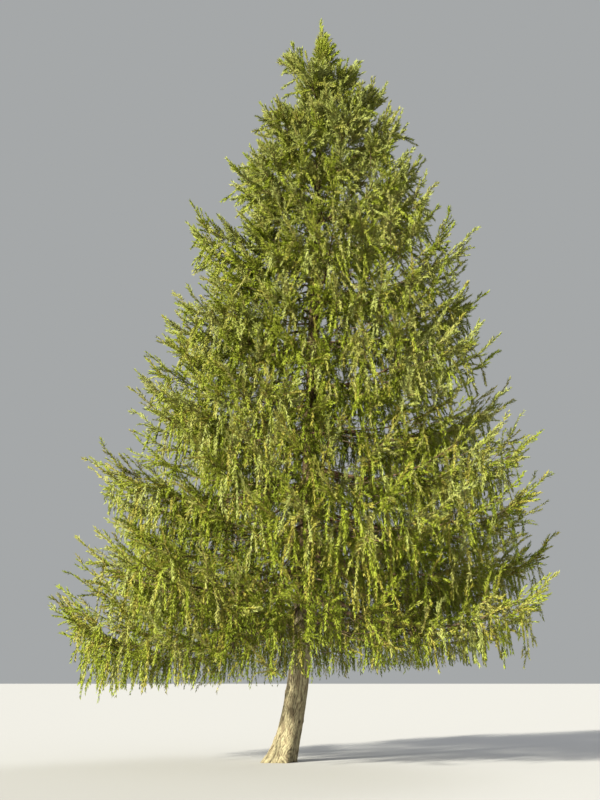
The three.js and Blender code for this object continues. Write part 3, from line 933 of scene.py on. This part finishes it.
WHITE = (1, 1, 1)
BLACK = (0, 0, 0)
EVEN = (1, 1, 1)  # a pattern that isn't stretched
BARE_BARK = (0.09, 0.13)  # shares of the tree's height between which bark has its full colour, without painted shade
PAINTED_CROWN_SHADE_FROM = 0.23  # the share from which on it has the full painted shade of the crown
# Colour of the painted shade in the crown, which also makes the bark redder there
PAINTED_CROWN_SHADE_TINT = (1.0, 0.8, 0.66)


def material(name, roughness, specular):
    """A new material and its nodes, with the numbers that are the same all over."""
    made = bpy.data.materials.new(name)
    made.use_nodes = True
    nodes = made.node_tree.nodes
    shader = nodes["Principled BSDF"]
    shader.inputs["Roughness"].default_value = roughness
    shader.inputs["Specular IOR Level"].default_value = specular
    return made, made.node_tree, shader


def node(tree, kind, inputs=None, **settings):
    """A new shader node. Each of its inputs takes another node's output or a plain value."""
    made = tree.nodes.new(kind)
    for key, value in settings.items():
        setattr(made, key, value)
    for key, value in (inputs or {}).items():
        if isinstance(value, bpy.types.NodeSocket):
            tree.links.new(value, made.inputs[key])
        else:
            made.inputs[key].default_value = value
    return made


def place(tree, scale):
    """The place on the object, times a scale for each axis."""
    coordinates = node(tree, "ShaderNodeTexCoord").outputs["Object"]
    return node(tree, "ShaderNodeMapping", {"Vector": coordinates, "Scale": scale}).outputs["Vector"]


def noise_value(tree, stretch, scale, detail=4.0):
    """Noise from 0 to 1 over the object, finer where an axis is stretched."""
    inputs = {"Vector": place(tree, stretch), "Scale": scale, "Detail": detail}
    return node(tree, "ShaderNodeTexNoise", inputs).outputs["Fac"]


def ramp(tree, value, stops):
    """Colours for values from 0 to 1, as pairs of a place and a colour."""
    made = node(tree, "ShaderNodeValToRGB", {"Fac": value})
    elements = made.color_ramp.elements
    while len(elements) < len(stops):
        elements.new(0.5)
    for element, (position, colour) in zip(elements, stops):
        element.position = position
        element.color = (*colour, 1)
    return made.outputs["Color"]


def blended(tree, share, a, b, mode="MIX"):
    """Two colours mixed, or blended in another mode, by a share of the second one."""
    made = node(tree, "ShaderNodeMix", data_type="RGBA", blend_type=mode)
    colours = [s for s in made.inputs if s.type == "RGBA"]
    for socket, value in zip((made.inputs[0], colours[0], colours[1]), (share, a, b)):
        if isinstance(value, bpy.types.NodeSocket):
            tree.links.new(value, socket)
        else:
            socket.default_value = value if isinstance(value, float) else (*value, 1)
    return next(s for s in made.outputs if s.type == "RGBA")


def add_bump(tree, shader, value, strength, distance):
    made = node(tree, "ShaderNodeBump", {"Height": value, "Strength": strength, "Distance": distance})
    tree.links.new(made.outputs["Normal"], shader.inputs["Normal"])


def bark_material(name, pale, tan, red, furrow, bump, crown_painted_shade=1.0, foot=1.0):
    """Bark with pale ridges and dark furrows, redder in streaks, with painted shade that darkens it a
    little at the foot and a lot up in the crown, where the bark is also redder.
    """
    made, tree, shader = material(name, roughness=0.93, specular=0.2)
    streaks = noise_value(tree, (7, 7, 2), scale=2.2)
    grain = noise_value(tree, (22, 22, 9), scale=3.0, detail=8.0)
    flakes = noise_value(tree, (9, 9, 5), scale=4.0, detail=6.0)
    ridge = ramp(tree, grain, [(0.3, tan), (0.62, pale)])
    tone = ramp(tree, streaks, [(0.47, BLACK), (0.62, WHITE)])
    streaked = blended(tree, tone, ridge, red)
    worn = node(tree, "ShaderNodeAttribute", attribute_name="furrow").outputs["Fac"]
    depth = ramp(tree, worn, [(0.12, BLACK), (0.75, WHITE)])
    coloured = blended(tree, depth, streaked, furrow)
    shade = ramp(tree, flakes, [(0.36, (0.66, 0.66, 0.64)), (0.62, WHITE)])
    coloured = blended(tree, 0.9, coloured, shade, "MULTIPLY")
    # Painted shade by height: a little darker towards the foot, much darker and redder up in the crown
    height = node(tree, "ShaderNodeSeparateXYZ", {"Vector": place(tree, (1, 1, 1 / TREE_HEIGHT))})
    crown_painted_shade_colour = tuple(crown_painted_shade * share for share in PAINTED_CROWN_SHADE_TINT)
    stops = [(0.0, (foot,) * 3), (BARE_BARK[0], WHITE), (BARE_BARK[1], WHITE), (PAINTED_CROWN_SHADE_FROM, crown_painted_shade_colour)]
    crown = ramp(tree, height.outputs["Z"], stops)
    coloured = blended(tree, 1.0, coloured, crown, "MULTIPLY")
    tree.links.new(coloured, shader.inputs["Base Color"])
    add_bump(tree, shader, grain, 0.6, bump)
    return made


def twig_material(name, pale, dark):
    made, tree, shader = material(name, roughness=0.85, specular=0.3)
    patches = noise_value(tree, EVEN, scale=9.0, detail=5.0)
    colour = ramp(tree, patches, [(0.35, dark), (0.65, pale)])
    tree.links.new(colour, shader.inputs["Base Color"])
    add_bump(tree, shader, patches, 0.4, 0.004)
    return made


def needle_material(name, dark, pale):
    """Needles of one tint, whose colour varies from spray to spray, and their gloss along each."""
    made, tree, shader = material(name, roughness=0.62, specular=0.18)
    sprays = noise_value(tree, EVEN, scale=2.6, detail=3.0)
    colour = ramp(tree, sprays, [(0.34, dark), (0.66, pale)])
    tree.links.new(colour, shader.inputs["Base Color"])
    wax = noise_value(tree, EVEN, scale=30.0, detail=2.0)
    roughness = ramp(tree, wax, [(0.3, (0.5,) * 3), (0.7, (0.72,) * 3)])
    tree.links.new(roughness, shader.inputs["Roughness"])
    return made


BARK = bark_material(
    "larch_bark",
    pale=(0.55, 0.49, 0.31),
    tan=(0.4, 0.35, 0.21),
    red=(0.33, 0.265, 0.165),
    furrow=(0.12, 0.095, 0.058),
    bump=0.014,
    # Painted shade: how bright the bark is left up in the crown, and at the foot
    crown_painted_shade=0.27,
    foot=0.66,
)
LIMB = bark_material(
    "limb_bark",
    pale=(0.2, 0.155, 0.105),
    tan=(0.13, 0.095, 0.065),
    red=(0.12, 0.08, 0.05),
    furrow=(0.05, 0.036, 0.025),
    bump=0.004,
)
TWIG = twig_material("twig_bark", pale=(0.19, 0.14, 0.07), dark=(0.09, 0.065, 0.038))
FINE = twig_material("fine_twig_bark", pale=(0.3, 0.19, 0.08), dark=(0.15, 0.09, 0.04))
# The darker tints go to darker-toned shoots and, as painted shade, to shoots deep in the crown
NEEDLE_TINTS = [
    ("needles_deep", (0.072, 0.098, 0.004), (0.13, 0.161, 0.009)),
    ("needles_shade", (0.136, 0.172, 0.009), (0.199, 0.238, 0.018)),
    ("needles_green", (0.166, 0.2, 0.014), (0.241, 0.275, 0.036)),
    ("needles_olive", (0.195, 0.205, 0.028), (0.27, 0.276, 0.08)),
    ("needles_fresh", (0.199, 0.226, 0.038), (0.267, 0.297, 0.092)),
    ("needles_tan", (0.19, 0.18, 0.02), (0.275, 0.258, 0.048)),
]


# The tree

wood = []
hanging = []
reaching = []
for stem in [*MAIN, *LESSER]:
    carrier = stem_of(stem)
    twigs = side_twigs(stem)
    wood += twigs
    hanging.append(fringe_of(carrier, STEM_STRAND_DRAWS))
    reaching.append(shoots_of(carrier, STEM_SPRAYS, STEM_SHOOT_DRAWS))
    for j, twig in enumerate(twigs):
        hanging.append(fringe_of(twig, SIDE_STRAND_DRAWS[0] + SIDE_STRAND_DRAWS[1] * j))
        reaching.append(shoots_of(twig, (SIDE_SPRAY,), SIDE_SHOOT_DRAWS[0] + SIDE_SHOOT_DRAWS[1] * j))
reaching.append(leader_shoots(LEADER))
reaching.append(shoots_round(UpperTrunk(), TRUNK_SHOOTS, TRUNK_SHOOT_LENGTH, TRUNK_TURNS))

hanging = fitted(joined(hanging))
reaching = fitted(joined(reaching))
strands = joined([hanging, reaching])
hanging_branchlets = branchlets_of(hanging, HANGING_SPACING)
reaching_branchlets = branchlets_of(reaching, REACHING_SPACING)
branchlets = joined([hanging_branchlets, reaching_branchlets])

shoots = joined([strands, branchlets])
heights = shoots.root[:, 2]
depth = depth_in_crown(shoots)
# Painted shade: shoots deeper in the crown are dealt darker tints
shade = shoots.tone - np.clip(depth - SUNLIT_DEPTH, 0, SHADED_DEPTH) * DEEPER_PAINTED_SHADE
shade = shade + HIGHER_FRESHER * heights / TREE_HEIGHT
tan = (shoots.tone * TAN_DRAW) % 1 < TAN_SHARE * (1 - heights / TAN_TOP)
inner = (depth - OUTER_DEPTH[0]) / (OUTER_DEPTH[1] - OUTER_DEPTH[0])
closeness = mix(1, INNER_NEEDLES, np.clip(inner, 0, 1))
closeness = closeness * mix(1, HIGH_NEEDLES, (heights / TREE_HEIGHT) ** 2)

trunk = trunk_bark()
limbs = bough_bark()
fine = [(strands, STRAND_RINGS, STRAND_RADIUS), (branchlets, (0,), BRANCHLET_RADIUS)]
side_wood, fine_wood = twig_wood(wood, fine)
needles = needle_pieces(shoots, shade, tan, closeness)

bough_nodes = [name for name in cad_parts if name.startswith("bough_")]
foliage_nodes = [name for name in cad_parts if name.startswith("foliage_")]

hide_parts("trunk")
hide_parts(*bough_nodes)
for piece in [side_wood, fine_wood, *needles]:
    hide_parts(*foliage_nodes)
for piece in [trunk, limbs, side_wood, fine_wood, *needles]:
    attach(piece, "root")

for piece, look in [(trunk, BARK), (limbs, LIMB), (side_wood, TWIG), (fine_wood, FINE)]:
    piece.data.materials.append(look)
for piece, tint in zip(needles, NEEDLE_TINTS):
    piece.data.materials.append(needle_material(*tint))


# Floor, light and camera

FLOOR_REACH = 400.0
FLOOR_COLOUR = (0.42, 0.42, 0.43, 1)
SKY_COLOUR = (0.82, 0.85, 0.86, 1)
SKY_STRENGTH = 0.46
CAMERA_PLACE = (0.38, -24.0, 1.6)
CAMERA_PITCH = 13.58  # degrees above the horizon
CAMERA_LENS = 52  # millimetres, and so is the sensor's width
CAMERA_SENSOR = 36
CAMERA_REACH = 1000

corners = [(-1, -1), (1, -1), (1, 1), (-1, 1)]
floor_mesh = bpy.data.meshes.new("floor")
floor_mesh.from_pydata([(FLOOR_REACH * x, FLOOR_REACH * y, 0) for x, y in corners], [], [(0, 1, 2, 3)])
floor = bpy.data.objects.new("floor", floor_mesh)
bpy.context.scene.collection.objects.link(floor)
floor_look, _, floor_shader = material("floor", roughness=0.95, specular=0.1)
floor_shader.inputs["Base Color"].default_value = FLOOR_COLOUR
floor_mesh.materials.append(floor_look)

world = bpy.data.worlds.new("studio")
world.use_nodes = True
background = world.node_tree.nodes["Background"]
background.inputs["Color"].default_value = SKY_COLOUR
background.inputs["Strength"].default_value = SKY_STRENGTH
bpy.context.scene.world = world
bpy.context.scene.view_settings.view_transform = "Standard"


def distant_light(name, energy, colour, angle, direction):
    light = bpy.data.lights.new(name, "SUN")
    light.energy = energy
    light.color = colour
    light.angle = math.radians(angle)
    light_object = bpy.data.objects.new(name, light)
    light_object.rotation_euler = Vector(direction).to_track_quat("-Z", "Y").to_euler()
    bpy.context.scene.collection.objects.link(light_object)


distant_light("sun", 12.6, (1.0, 0.955, 0.79), angle=3, direction=(0.62, 0.62, -0.34))
distant_light("fill", 1.5, (0.95, 0.97, 1.0), angle=30, direction=(-0.4, -0.7, -0.6))

camera = bpy.data.cameras.new("camera")
camera.lens = CAMERA_LENS
camera.sensor_width = CAMERA_SENSOR
camera.clip_end = CAMERA_REACH
camera_object = bpy.data.objects.new("camera", camera)
camera_object.location = CAMERA_PLACE
camera_object.rotation_euler = (math.radians(90 + CAMERA_PITCH), 0, 0)
bpy.context.scene.collection.objects.link(camera_object)
bpy.context.scene.camera = camera_object
